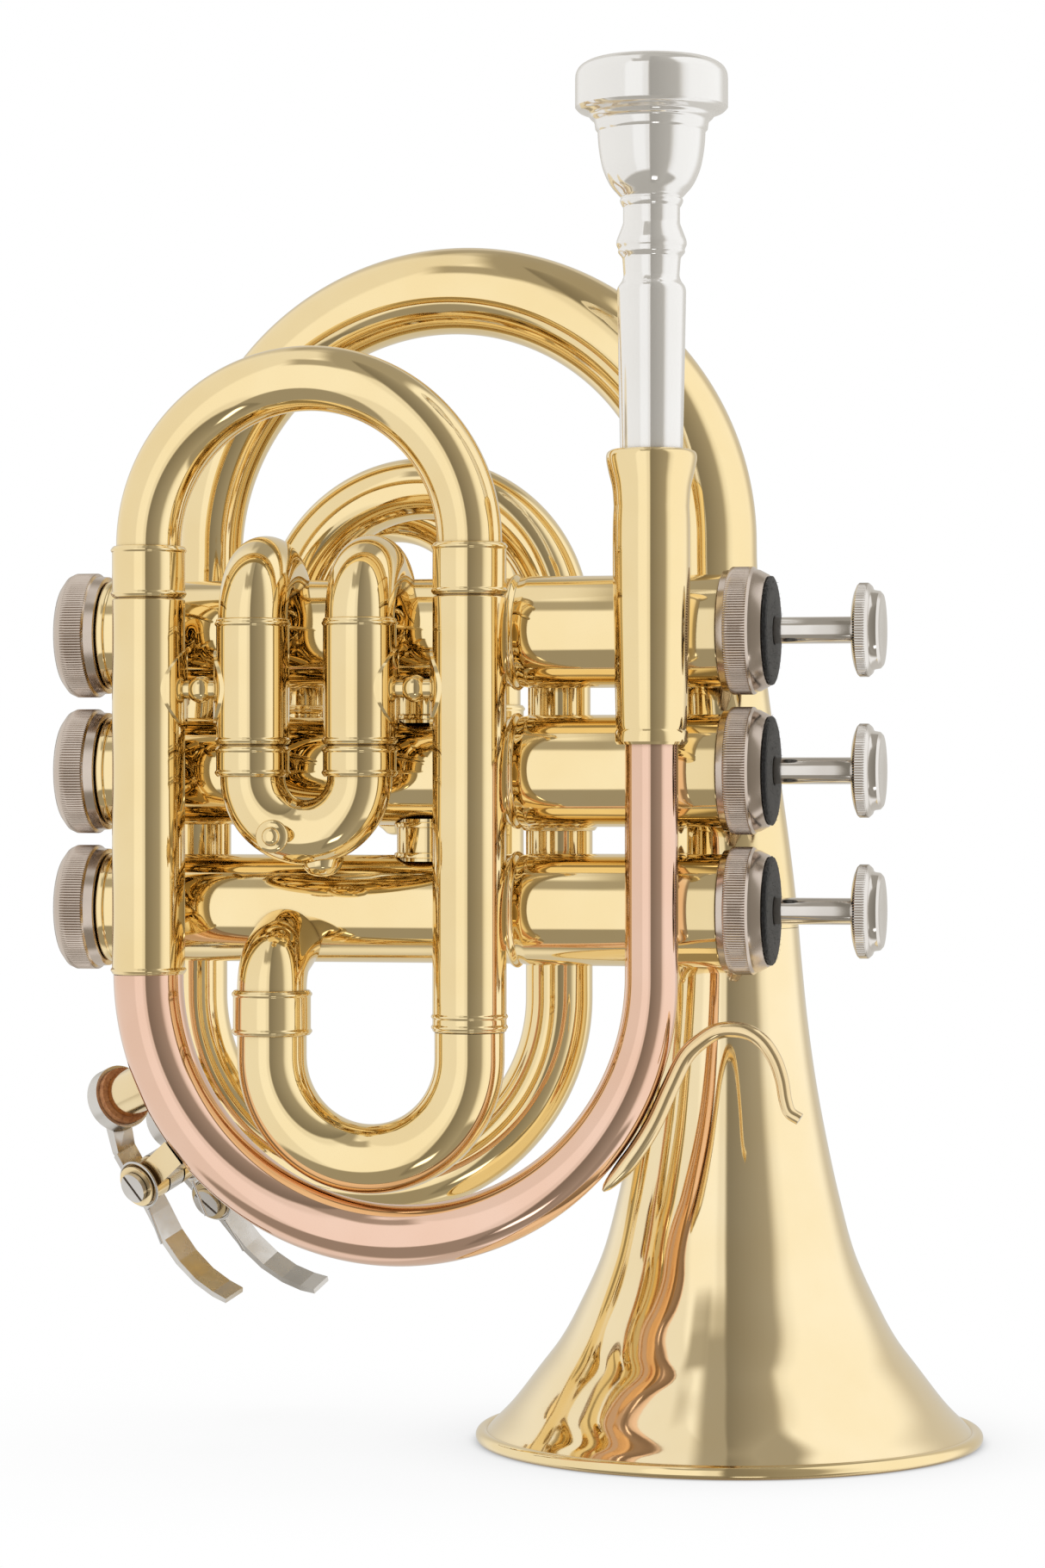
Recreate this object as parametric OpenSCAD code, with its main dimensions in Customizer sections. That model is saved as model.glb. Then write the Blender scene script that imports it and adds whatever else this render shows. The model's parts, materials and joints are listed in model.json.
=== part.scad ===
// Pocket cornet standing on its bell. X runs along the valves towards the buttons,
// Z is up along the leadpipe, and the bell's mouth is centred on the origin.

/* [Bell] */
// Radius of the bell at its rim
bell_r = 47.4; // [42:0.1:52]
// Thickness of the bell's sheet brass
sheet = 0.6; // [0.4:0.05:1]
// Radius of the wire rolled into the bell's rim
rim_wire_r = 1.3; // [0.8:0.1:1.8]

/* [Valves] */
// Height of the third valve, the lowest one
valve3_z = 99.8; // [99:0.1:101]
// Distance from one valve to the next
valve_pitch = 25.4; // [25:0.1:25.8]
// Distance from the bell's centre to the valves
valve_y = 24; // [24:0.1:26]
// Outer radius of a casing's upper half
casing_r = 10.25; // [10:0.05:10.5]
// Radius of a piston
piston_r = 8.4; // [8.2:0.05:8.5]
// Travel of a piston when its button is pressed
travel = 14.5; // [10:0.1:14.8]
// Radius of a finger button
button_r = 8.5; // [7:0.1:9]

/* [Tubing] */
// Distance from the bell's centre to the row of front tubes
front_y = 42.5; // [42.4:0.1:44]
// Outer radius of an inner slide leg
leg_r = 5.9; // [5.7:0.05:6]
// Running clearance between a slide leg and its sleeve
fit = 0.05; // [0.02:0.01:0.08]
// Wall of the drawn tubes
wall = 0.5; // [0.4:0.05:0.8]

/* [Mouthpiece] */
// Outer radius of the rim
rim_r = 13.6; // [12.5:0.1:14.5]
// Height of the rim above the bell's mouth
rim_z = 251.5; // [240:0.5:260]
// Depth of the shank inside the receiver
shank_depth = 22; // [18:0.5:26]

/* [Hidden] */
$fn = 96;
eps = 0.01;

valve_z = [valve3_z + 2 * valve_pitch, valve3_z + valve_pitch, valve3_z];
cap_x = 3.1;          // inner edge of the top caps
felt_x = 12.2;        // outer face of the cap felts
button_x = felt_x + travel + 0.3;
casing_end_x = -113.1;
joint_x = -35.4;      // ring between a casing's two halves
bore_r = piston_r + fit;
sleeve_r = leg_r + fit + 0.7;

lead_x = -7;          // leadpipe and mouthpiece
left_x = -100.2;      // left sleeve of the main slide
right_x = -40.2;      // right sleeve of the main slide
elbow_x = -76.9;      // lower bow's left end
sleeve_top = 156.6;
ferrule_top = 166.2;
left_sleeve_z = 88.1;
right_sleeve_z = 78.3;
first_x = [-80.5, -60.5];
first_sleeve_z = [129.9, 152.5];
second_x = [-73.1, -60.9];
second_r = 5.5;
third_x = [-85.4, -48.6];
third_y = 13;
third_r = 5.85;
tail_left = -104;
tail_right = -32.4;
tail_arch_left = -84.4;
tail_r = 6.3;
tail_arch_r = 5.9;
tail_seam = 120;      // where the tail's bottom bow meets its arch
bow_left = -100.6;
bow_right = -4;
bow_z = 168;
silver = [0.86, 0.86, 0.85];
nickel = [0.72, 0.70, 0.67];
brass = [0.87, 0.70, 0.36];
rose = [0.86, 0.60, 0.50];

// ---- shared shapes ----
module ring(r, h, bore) {
    difference() {
        cylinder(r = r, h = h);
        translate([0, 0, -1]) cylinder(r = bore, h = h + 2);
    }
}
module along_x(x, y, z) translate([x, y, z]) rotate([0, 90, 0]) children();
module valve_at(i, x) along_x(x, -valve_y, valve_z[i]) children();

// Tube along +Z with two raised beads on its ends, as a slide ferrule has
module ferrule(r, h, bore) {
    ring(r, h, bore);
    for (z = [0.2, h - 1]) translate([0, 0, z]) ring(r + 0.25, 0.8, r - 0.2);
}

// Half bend of round tube in the XZ plane, centred on the origin: an arch, or a bow that hangs down
module arch(big_r, r, bore) rotate([90, 0, 0])
    rotate_extrude(angle = 180) translate([big_r, 0]) difference() {
        circle(r);
        circle(bore);
    }
module bow(big_r, r, bore) rotate([0, 180, 0]) arch(big_r, r, bore);

// Elbow of radius big_r that leaves straight up and turns towards +Y by the sweep
module elbow(big_r, r, sweep, bore) rotate([90, 0, 90])
    translate([big_r, 0, 0]) rotate([0, 0, 180 - sweep])
        rotate_extrude(angle = sweep) translate([big_r, 0]) difference() {
            circle(r);
            circle(bore);
        }

// Straight tube from a point, along +Z
module tube(x, y, z0, z1, r, bore) translate([x, y, z0]) ring(r, z1 - z0, bore);

// Hollow tube of changing radius along a path of [x, z, heading angle, radius] in the XZ plane
function rim_points(p, y, r, n) = [for (i = [0:n - 1]) let (a = 360 * i / n)
    [p[0] + r * cos(a) * sin(p[2]), y + r * sin(a), p[1] - r * cos(a) * cos(p[2])]];
module swept(path, y, n, w) {
    m = len(path);
    points = [for (p = path) each rim_points(p, y, p[3], n),
              for (p = path) each rim_points(p, y, p[3] - w, n)];
    inner = m * n;
    faces = [
        for (j = [0:m - 2], i = [0:n - 1]) let (k = (i + 1) % n)
            [j * n + i, j * n + k, (j + 1) * n + k, (j + 1) * n + i],
        for (j = [0:m - 2], i = [0:n - 1]) let (k = (i + 1) % n)
            [inner + j * n + k, inner + j * n + i, inner + (j + 1) * n + i, inner + (j + 1) * n + k],
        for (i = [0:n - 1]) let (k = (i + 1) % n) [k, i, inner + i, inner + k],
        for (i = [0:n - 1]) let (k = (i + 1) % n, e = (m - 1) * n)
            [e + i, e + k, inner + e + k, inner + e + i]];
    polyhedron(points, faces, convexity = 6);
}

// ---- mouthpiece and leadpipe ----
module mouthpiece() {
    z = rim_z;
    tip = z - 69.2 - shank_depth;
    color(silver) translate([lead_x, -front_y, 0]) rotate_extrude() difference() {
        polygon([[0, z - 0.5], [8.6, z - 0.5], [9.6, z], [11.4, z - 0.35], [12.8, z - 1.3],
            [rim_r, z - 3], [rim_r, z - 8.4], [13, z - 9.1], [11.3, z - 9.7], [10.9, z - 10.4],
            [10.2, z - 10.9], [10, z - 12.4], [9.6, z - 12.8], [9.5, z - 14.6], [9.2, z - 17],
            [8.6, z - 19.6], [7.4, z - 22.2], [5.6, z - 24], [5.4, z - 24.5], [5.7, z - 25],
            [5.3, z - 25.9], [5.05, z - 26.2], [5.05, z - 29], [5.5, z - 30.2], [6.2, z - 32],
            [6.3, z - 32.8], [5.9, z - 33.6], [6, z - 34.2], [5.2, z - 35.1], [4.95, z - 38.4],
            [5.3, z - 39.4], [5.95, z - 40.2], [6.15, z - 41], [5.62, z - 69.2],
            [4.95, tip], [0, tip]]);
        polygon([[0, z + 1], [8.4, z + 1], [8, z - 1.5], [7.4, z - 4.5], [6.2, z - 7.5],
            [4.2, z - 9.8], [2.2, z - 11.2], [1.85, z - 12.4], [1.85, z - 15],
            [4.2, tip - 1], [0, tip - 1]]);
    }
}
receiver_top = rim_z - 69.3;
receiver_z = 129.8;
module receiver() {
    t = receiver_top;
    tip = t - shank_depth;
    color(brass) translate([lead_x, -front_y, 0]) rotate_extrude() difference() {
        polygon([[0, t], [7.3, t], [7.9, t - 0.5], [8.1, t - 1.6], [7.7, t - 3.6], [7, t - 6.8],
            [6.75, t - 10], [6.9, t - 14], [6.85, t - 24], [6.3, receiver_z + 3],
            [6.3, receiver_z + 2.4], [6.45, receiver_z + 2], [6.45, receiver_z + 0.4],
            [6.1, receiver_z], [0, receiver_z]]);
        polygon([[0, t + 1], [5.7, t + 1], [5.66, t - 0.1], [5, tip], [5, tip - 0.5], [4.2, tip - 0.5],
            [4.2, receiver_z - 1], [0, receiver_z - 1]]);
    }
}
lead_r0 = 4.75;
lead_r1 = 6.4;
lead_bow_z = left_sleeve_z;
lead_bow_x = (lead_x + left_x) / 2;
lead_bow_r = (lead_x - left_x) / 2;
module leadpipe() {
    steps = 36;
    path = concat(
        [[lead_x, receiver_z, -90, lead_r0], [lead_x, lead_bow_z + 14, -90, lead_r0]],
        [for (i = [0:steps]) let (a = 180 * i / steps)
            [lead_bow_x + lead_bow_r * cos(a), lead_bow_z - lead_bow_r * sin(a), -90 - a,
             lead_r0 + (lead_r1 - lead_r0) * i / steps]]);
    color(rose) swept(path, -front_y, 32, wall);
}

// ---- main tuning slide ----
module slide_sleeve_left() color(brass)
    tube(left_x, -front_y, left_sleeve_z, sleeve_top - 0.1, sleeve_r, leg_r + fit);
module slide_sleeve_right() color(brass) {
    tube(right_x, -front_y, right_sleeve_z, sleeve_top - 0.1, sleeve_r, leg_r + fit);
    for (z = [0.2, 2.2]) translate([right_x, -front_y, right_sleeve_z + z])
        ring(sleeve_r + 0.2, 0.7, leg_r + fit);
}
module main_tuning_slide() color(brass) {
    c = (left_x + right_x) / 2;
    big = (right_x - left_x) / 2;
    translate([c, -front_y, ferrule_top]) arch(big, leg_r, leg_r - wall);
    for (x = [left_x, right_x]) tube(x, -front_y, 118, ferrule_top, leg_r, leg_r - wall);
}
module main_slide_ferrules() color(brass) for (x = [left_x, right_x])
    translate([x, -front_y, sleeve_top + 0.1])
        ferrule(sleeve_r, ferrule_top - sleeve_top - 0.2, leg_r + eps);

// ---- lower bow into the third valve ----
lower_bow_z = 73.5;
lower_r = 6.3;
elbow_z = 85.5;
elbow_r = 6.6;
elbow_sweep = 70;
module lower_bow() color(brass) {
    c = (elbow_x + right_x) / 2;
    big = (right_x - elbow_x) / 2;
    translate([c, -front_y, lower_bow_z]) bow(big, lower_r, lower_r - wall);
    tube(right_x, -front_y, lower_bow_z, right_sleeve_z - 0.1, lower_r, lower_r - wall);
    difference() {
        union() {
            tube(elbow_x, -front_y, lower_bow_z, elbow_z, lower_r, lower_r - wall);
            translate([elbow_x, -front_y, elbow_z]) elbow(elbow_r, lower_r, elbow_sweep, lower_r - wall);
            translate([elbow_x, -front_y + elbow_r * (1 - cos(elbow_sweep)), elbow_z + elbow_r * sin(elbow_sweep)])
                rotate([-elbow_sweep, 0, 0]) ring(lower_r, 9, lower_r - wall);
        }
        valve_at(2, casing_end_x) cylinder(r = casing_r + eps, h = 120);
    }
}
module lower_bow_ferrule() color(brass) translate([elbow_x, -front_y, 77.3])
    ferrule(lower_r + 0.75, 8.2, lower_r + eps);

// ---- valves ----
port_x = [-85, -66.5, -44];
module casing(i) color(brass) valve_at(i, casing_end_x) difference() {
    union() {
        cylinder(r = casing_r - 0.3, h = joint_x - casing_end_x);
        translate([0, 0, joint_x - casing_end_x]) cylinder(r = casing_r, h = cap_x - joint_x);
        translate([0, 0, joint_x - casing_end_x - 0.6]) cylinder(r = casing_r + 0.45, h = 1.2);
        translate([0, 0, -0.2]) cylinder(r = casing_r + 0.25, h = 1.6);
    }
    translate([0, 0, -1]) cylinder(r = bore_r, h = 200);
    translate([0, 0, joint_x - casing_end_x + 5]) cylinder(r = bore_r + 0.4, h = 200);
}
module valve_casing_1() casing(0);
module valve_casing_2() casing(1);
module valve_casing_3() casing(2);
// Short tubes that carry the air from one casing to the next
module knuckles() color(brass) difference() {
    for (i = [0, 1]) for (x = [-52, -8]) translate([x, -valve_y + (x > -20 ? 3 : 0), valve_z[i + 1]])
        ring(x > -20 ? 4 : leg_r, valve_pitch, x > -20 ? 3.4 : leg_r - wall);
    for (i = [0:2]) valve_at(i, casing_end_x) cylinder(r = casing_r + eps, h = 120);
}
piston_x = -97;
piston_h = 60;
barrel_h = 43;
module piston(i) color(nickel) valve_at(i, piston_x) difference() {
    union() {
        cylinder(r = piston_r, h = piston_h);
        translate([0, 0, piston_h - eps]) cylinder(r = 7.6, h = barrel_h);
        translate([0, 0, piston_h + barrel_h - 1]) cylinder(r = 2.4, h = button_x - piston_x - piston_h - barrel_h + 1);
    }
    // windways through the piston
    for (z = [12, 30, 48]) translate([-10, 0, z]) rotate([0, 90, 0]) rotate([z * 3, 0, 0])
        cylinder(r = 5, h = 20);
    // spring barrel and its two guide slots
    translate([0, 0, piston_h]) cylinder(r = 6.6, h = barrel_h - 2.5);
    translate([-9, -1.6, piston_h + 3]) cube([18, 3.2, travel + 5]);
    translate([0, 0, button_x - piston_x - 3.1]) cylinder(r = 1.95, h = 4);
}
module piston_1() piston(0);
module piston_2() piston(1);
module piston_3() piston(2);
module valve_guides() color("white") for (i = [0:2]) valve_at(i, piston_x + piston_h + 4.2) {
    intersection() {
        cylinder(r = bore_r - 0.02, h = 1.8);
        translate([-12, -1.4, 0]) cube([24, 2.8, 2]);
    }
    cylinder(r = 3, h = 1.8);
}
spring_x = piston_x + piston_h + 6.3;
spring_len = 33.6;
module spring(i) color("silver") {
    turns = 9;
    n = 12 * turns;
    w = 0.4;
    points = [for (j = [0:n]) let (a = 30 * j, x = spring_x + spring_len * j / n)
        for (k = [0:5]) let (b = 60 * k, r = 5 + w * cos(b))
            [x + w * sin(b), -valve_y + r * cos(a), valve_z[i] + r * sin(a)]];
    faces = concat(
        [for (j = [0:n - 1], k = [0:5]) let (m = (k + 1) % 6)
            [j * 6 + k, (j + 1) * 6 + k, (j + 1) * 6 + m, j * 6 + m]],
        [[5, 4, 3, 2, 1, 0]], [[for (k = [0:5]) n * 6 + k]]);
    polyhedron(points, [for (f = faces) [for (q = [len(f) - 1:-1:0]) f[q]]]);
}
module spring_1() spring(0);
module spring_2() spring(1);
module spring_3() spring(2);
module button(i) color(nickel) valve_at(i, button_x) rotate_extrude() polygon([[0, -3],
    [1.9, -3], [1.9, 0], [6.6, 0], [8.1, 0.5], [button_r, 1.2], [button_r, 2.2], [8.1, 3],
    [7.2, 3.4], [7, 4.6], [6.4, 5.1], [3.4, 5], [0, 4.8]]);
module button_1() button(0);
module button_2() button(1);
module button_3() button(2);
module top_cap(i) color(nickel) valve_at(i, cap_x) rotate_extrude() polygon([[3, 5.6],
    [3, 6.7], [8.6, 6.7], [8.6, 8.2], [10.2, 8.2], [11.1, 6.4], [11.1, 5.6], [11.6, 5.4],
    [11.6, 1.6], [11.1, 1.4], [11, 0.1], [10.3, 0], [8.8, 0], [8.8, -5],
    [bore_r + 0.05, -5], [bore_r + 0.05, 5.6]]);
module top_cap_1() top_cap(0);
module top_cap_2() top_cap(1);
module top_cap_3() top_cap(2);
module cap_felts() color([0.06, 0.06, 0.06]) for (i = [0:2]) valve_at(i, cap_x + 6.75)
    rotate_extrude() polygon([[2.6, 0], [8.5, 0], [8.5, 1.5], [9.9, 1.5], [9.8, 2], [8, 2.3], [2.6, 2.35]]);
module bottom_cap(i) color(nickel) valve_at(i, casing_end_x) rotate([180, 0, 0])
    rotate_extrude() polygon([[0, 7.4], [4, 7.6], [8.4, 8.4], [10.2, 8.1], [11.2, 7.2], [11.6, 6.4],
        [11.6, 2.4], [11.1, 2.2], [10.9, 0.3], [10.5, 0.25], [bore_r, 0.25], [bore_r - 0.4, 0.25],
        [bore_r - 0.4, -1], [bore_r - 1.4, -1], [bore_r - 1.4, 5.8], [0, 5.8]]);
module bottom_cap_1() bottom_cap(0);
module bottom_cap_2() bottom_cap(1);
module bottom_cap_3() bottom_cap(2);

// ---- first valve slide, on the front ----
first_bow_z = 124;
module first_slide_sleeves() color(brass) difference() {
    for (x = first_x) {
        tube(x, -front_y, first_sleeve_z[0], first_sleeve_z[1] + eps, sleeve_r, leg_r + fit);
        translate([x, -front_y, first_sleeve_z[1]]) elbow(9.5, leg_r + 0.4, 150, leg_r - wall);
        translate([x, -front_y, first_sleeve_z[1] - 1]) ring(sleeve_r + 0.2, 0.7, leg_r + fit);
    }
    valve_at(0, casing_end_x) cylinder(r = casing_r + eps, h = 120);
}
module first_slide() color(brass) {
    c = (first_x[0] + first_x[1]) / 2;
    big = (first_x[1] - first_x[0]) / 2;
    translate([c, -front_y, first_bow_z]) bow(big, leg_r, leg_r - wall);
    for (x = first_x) tube(x, -front_y, first_bow_z, 150, leg_r, leg_r - wall);
}
module first_slide_ferrules() color(brass) for (x = first_x)
    translate([x, -front_y, first_bow_z + 0.1]) ferrule(sleeve_r, first_sleeve_z[0] - first_bow_z - 0.2, leg_r + eps);
module first_slide_knobs() color(brass) {
    c = (first_x[0] + first_x[1]) / 2;
    translate([c - 4.2, -front_y - 4.9, first_bow_z - 10.6]) rotate([90, 0, 0])
        rotate_extrude() polygon([[0, 0], [2.3, 0], [2.3, 2.4], [3, 2.6], [3, 3.4], [2.4, 3.8],
            [1.5, 4], [1.5, 4.6], [0, 5]]);
    translate([c + 2.6, -front_y + 1.4, first_bow_z - 14.2]) rotate([180, 0, 0])
        rotate_extrude() polygon([[0, 0], [4, 0], [3.6, 2.2], [2.4, 3.4], [0, 3.8]]);
}

// ---- second valve slide, on the back ----
module second_tube(y0, y1, r, bore) for (x = second_x) translate([x, y0, valve_z[1]])
    rotate([-90, 0, 0]) ring(r, y1 - y0, bore);
module second_slide_sleeves() color(brass) difference() {
    second_tube(-valve_y, 4.1, second_r, second_r - 0.5);
    valve_at(1, casing_end_x) cylinder(r = casing_r + eps, h = 120);
}
module second_slide() color(brass) {
    c = (second_x[0] + second_x[1]) / 2;
    second_tube(-12, 4.2, second_r - 0.55, second_r - 1);
    second_tube(4.2, 6, second_r, second_r - 1);
    translate([c, 6, valve_z[1]]) rotate([-90, 0, 0])
        arch((second_x[1] - second_x[0]) / 2, second_r, second_r - 1);
}
module second_slide_knob() color(brass) translate([(second_x[0] + second_x[1]) / 2, 11.5, valve_z[1] - 5.3])
    rotate([180, 0, 0]) rotate_extrude() polygon([[0, 0], [2.2, 0], [2.2, 3.6], [3.4, 4], [3.4, 5.2],
        [2.4, 5.8], [1.6, 6.6], [0, 6.9]]);

// ---- third valve slide, behind the casings ----
third_bow_z = 157;
module third_slide_sleeves() color(brass) difference() {
    union() for (x = third_x) {
        tube(x, third_y, 108, 134, third_r + 0.6, third_r + fit);
        tube(x, third_y, 108, 109.2, third_r + 0.3, third_r - wall);
        translate([x, third_y, 108]) rotate([0, 180, 180]) elbow(9, third_r, 90, third_r - wall);
        translate([x, third_y - 9, 99]) rotate([90, 0, 0]) ring(third_r, 20, third_r - wall);
    }
    valve_at(2, casing_end_x) cylinder(r = casing_r + eps, h = 120);
}
module third_slide() color(brass) {
    c = (third_x[0] + third_x[1]) / 2;
    big = (third_x[1] - third_x[0]) / 2;
    translate([c, third_y, third_bow_z]) arch(big, third_r, third_r - wall);
    for (x = third_x) {
        tube(x, third_y, 112, third_bow_z, third_r, third_r - wall);
        tube(x, third_y, 134.2, 138, third_r + 0.6, third_r - eps);
    }
}

// ---- braces between the front tubes ----
module slide_brace(xa, ra, xb, rb) {
    z = 140;
    mid = (xa + ra + xb - rb) / 2;
    gap = (xb - rb) - (xa + ra);
    along_x(xa + ra, -front_y, z) cylinder(r = 1.7, h = gap);
    translate([mid, -front_y, z]) rotate([0, 90, 0]) sphere(r = 2.5);
    for (s = [0, 1]) translate([s ? xb : xa, -front_y, z]) intersection() {
        translate([0, 0, -9]) ring((s ? rb : ra) + 0.5, 18, s ? rb : ra);
        rotate([0, 90, 0]) translate([0, 2.1, s ? -12 : 0]) cylinder(r = 7.5, h = 12);
        rotate([0, 90, 0]) translate([0, -2.1, s ? -12 : 0]) cylinder(r = 7.5, h = 12);
        translate([s ? -12 : 0, -12, -12]) cube([12, 24, 24]);
    }
}
module slide_brace_left() color(brass) slide_brace(left_x, sleeve_r, first_x[0], sleeve_r);
module slide_brace_right() color(brass) slide_brace(first_x[1], sleeve_r, right_x, sleeve_r);

// ---- bell ----
bell_profile = [[bell_r - 0.8, 0.9], [44.4, 3.1], [40.4, 7.2], [35.3, 13.8], [31.4, 19], [28.1, 25],
    [23.6, 35], [20.6, 46], [18.2, 57], [16.2, 68], [14.7, 79], [13.6, 90]];
bell_top = 96;
bell_top_r = 13.1;
module bell() color(brass) rotate_extrude($fn = 180) polygon(concat(
    bell_profile, [[bell_top_r, bell_top]],
    [[bell_top_r - sheet, bell_top]],
    [for (i = [len(bell_profile) - 1:-1:0]) [bell_profile[i][0] - sheet * 1.1, bell_profile[i][1] - (i < 4 ? 0.3 : 0)]]));
// The rim wire is worn flat where the instrument stands on it
module bell_rim() color(brass) rotate_extrude($fn = 180) intersection() {
    translate([bell_r - rim_wire_r, rim_wire_r - 0.12]) circle(rim_wire_r, $fn = 48);
    translate([bell_r - 4, 0]) square([6, 4]);
}
module bell_bow() {
    c = (bow_left + bow_right) / 2;
    big = (bow_right - bow_left) / 2;
    up = 6;
    steps = 28;
    down = 4;
    function stem_r(t) = bell_top_r - (bell_top_r - 9.2) * (1 - pow(1 - t, 1.7));
    path = concat(
        [for (i = [0:up - 1]) let (t = i / up)
            [bow_right * t * t * (3 - 2 * t), bell_top + (bow_z - bell_top) * t,
             90 + atan(4 * 6 * t * (1 - t) / (bow_z - bell_top)), stem_r(t)]],
        [for (i = [0:steps]) let (a = 180 * i / steps)
            [c + big * cos(a), bow_z + big * sin(a), 90 + a, 9.2 - 3.2 * pow(i / steps, 1.6)]],
        [for (i = [1:down]) let (t = i / down)
            [bow_left + (tail_left - bow_left) * t * t * (3 - 2 * t), bow_z - (bow_z - 112) * t,
             270 - atan(3.4 * 6 * t * (1 - t) / (bow_z - 112)), 6 + 0.3 * t]]);
    color(brass) swept(path, 0, 28, sheet);
}
tail_bow_z = 82.7;
module bell_tail() color(brass) {
    big = (tail_right - tail_left) / 2;
    translate([(tail_left + tail_right) / 2, 0, tail_bow_z]) bow(big, tail_r, tail_r - wall);
    tube(tail_left, 0, tail_bow_z, 111.9, tail_r, tail_r - wall);
    tube(tail_right, 0, tail_bow_z, tail_seam, tail_r, tail_r - wall);
}
tail_arch_z = 152.9;
module tail_arch() color(brass) difference() {
    union() {
        big = (tail_right - tail_arch_left) / 2;
        translate([(tail_arch_left + tail_right) / 2, 0, tail_arch_z])
            arch(big, tail_arch_r, tail_arch_r - wall);
        tube(tail_right, 0, tail_seam + 0.1, tail_arch_z, tail_arch_r, tail_arch_r - wall);
        translate([tail_arch_left, 0, tail_arch_z]) rotate([180, 0, 0]) elbow(7, tail_arch_r, 90, tail_arch_r - wall);
        translate([tail_arch_left, -7, tail_arch_z - 7]) rotate([90, 0, 0]) ring(tail_arch_r, 14, tail_arch_r - wall);
    }
    valve_at(0, casing_end_x) cylinder(r = casing_r + eps, h = 120);
}
module tail_ferrules() color(brass) {
    translate([tail_right, 0, tail_seam - 6]) ferrule(tail_r + 0.6, 11, tail_r + eps);
    translate([tail_left, 0, 106]) ferrule(tail_r + 0.75, 11, tail_r + 0.1);
}
module bell_brace() color(brass) difference() {
    translate([-6, -valve_y, valve_z[2]]) rotate([-90, 0, 0]) cylinder(r = 3, h = 14);
    valve_at(2, casing_end_x) cylinder(r = casing_r + eps, h = 120);
    translate([0, 0, bell_top]) translate([0, 0, -30]) cylinder(r = bell_top_r + eps, h = 80);
}
module receiver_brace() color(brass) {
    translate([lead_x, -front_y, valve_z[0]]) difference() {
        rotate([-90, 0, 0]) cylinder(r = 3.2, h = 9.5);
        translate([0, 0, -20]) cylinder(r = 6.95, h = 40);
        translate([-60, front_y - valve_y, 0]) rotate([0, 90, 0]) cylinder(r = casing_r + eps, h = 120);
    }
}

// ---- hook for the little finger ----
// Its foot lies along the outside of the leadpipe's bow, and its rod thins towards the tip
hook_r0 = 1.7;
hook_r1 = 1.1;
hook_foot_r = lead_bow_r + lead_r0 + (lead_r1 - lead_r0) / 4 + hook_r0 + 0.05;
hook_path = concat(
    [for (a = [-45:8:-21]) [lead_bow_x + hook_foot_r * cos(a), lead_bow_z + hook_foot_r * sin(a)]],
    [[-0.9, 74.4], [2.2, 77.4], [5, 79], [8, 79.3], [10.8, 78.7], [13.2, 77], [15.2, 74], [16.4, 70.5], [17, 67],
     [17.8, 64.8], [19.6, 63.6]]);
hook_n = len(hook_path);
function hook_heading(i) = let (a = hook_path[max(i - 1, 0)], b = hook_path[min(i + 1, hook_n - 1)])
    atan2(b[1] - a[1], b[0] - a[0]);
module pinky_hook() {
    sides = 16;
    points = [for (i = [0:hook_n - 1]) each rim_points(
        [hook_path[i][0], hook_path[i][1], hook_heading(i)], -front_y,
        hook_r0 + (hook_r1 - hook_r0) * i / (hook_n - 1), sides)];
    color(brass) polyhedron(points, concat(
        [for (j = [0:hook_n - 2], i = [0:sides - 1]) let (k = (i + 1) % sides)
            [j * sides + i, j * sides + k, (j + 1) * sides + k, (j + 1) * sides + i]],
        [[for (i = [sides - 1:-1:0]) i]], [[for (i = [0:sides - 1]) (hook_n - 1) * sides + i]]));
}

// ---- water keys ----
// A point on a bow has its own frame: x runs along the tube, z leans outwards and back
tail_bow_x = (tail_left + tail_right) / 2;
tail_bow_r = (tail_right - tail_left) / 2;
key_lean = 35;
seat_angle = [203, 211];
hinge_angle = [218, 230];
seat_h = 7.5;
hinge_z = 9.5;
hinge_r = 3.9;
module on_bow(k, angle) translate(k == 0 ? [lead_bow_x, -front_y, lead_bow_z] : [tail_bow_x, 0, tail_bow_z])
    rotate([0, -angle, 0]) translate([k == 0 ? lead_bow_r : tail_bow_r, 0, 0])
        rotate([0, 90, 0]) rotate([-key_lean, 0, 0]) rotate([0, 0, 180])
            translate([0, 0, k == 0 ? 6.2 : tail_r + 0.05]) children();
module hinge_at(k) on_bow(k, hinge_angle[k]) translate([0, 0, hinge_z]) children();
module water_key_seats() color(brass) for (k = [0, 1]) {
    on_bow(k, seat_angle[k]) difference() {
        rotate_extrude() polygon([[2, -2.2], [4.2, -2.2], [4.2, seat_h], [2, seat_h]]);
        translate([0, 0, -6.2]) rotate([0, 90, 0]) cylinder(r = 6, h = 20, center = true);
    }
    hinge_at(k) difference() {
        union() {
            rotate([90, 0, 0]) cylinder(r = hinge_r, h = 14, center = true);
            translate([-2.5, -5.3, -hinge_z - 3.2]) cube([5, 10.6, hinge_z + 3.2]);
        }
        rotate([90, 0, 0]) cylinder(r = 1.1, h = 20, center = true);
        translate([-6, -2.2, -4.4]) cube([12, 4.4, 12]);
        translate([0, 0, -hinge_z - 6.25]) rotate([0, 90, 0]) cylinder(r = 6.3, h = 20, center = true);
    }
}
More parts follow.
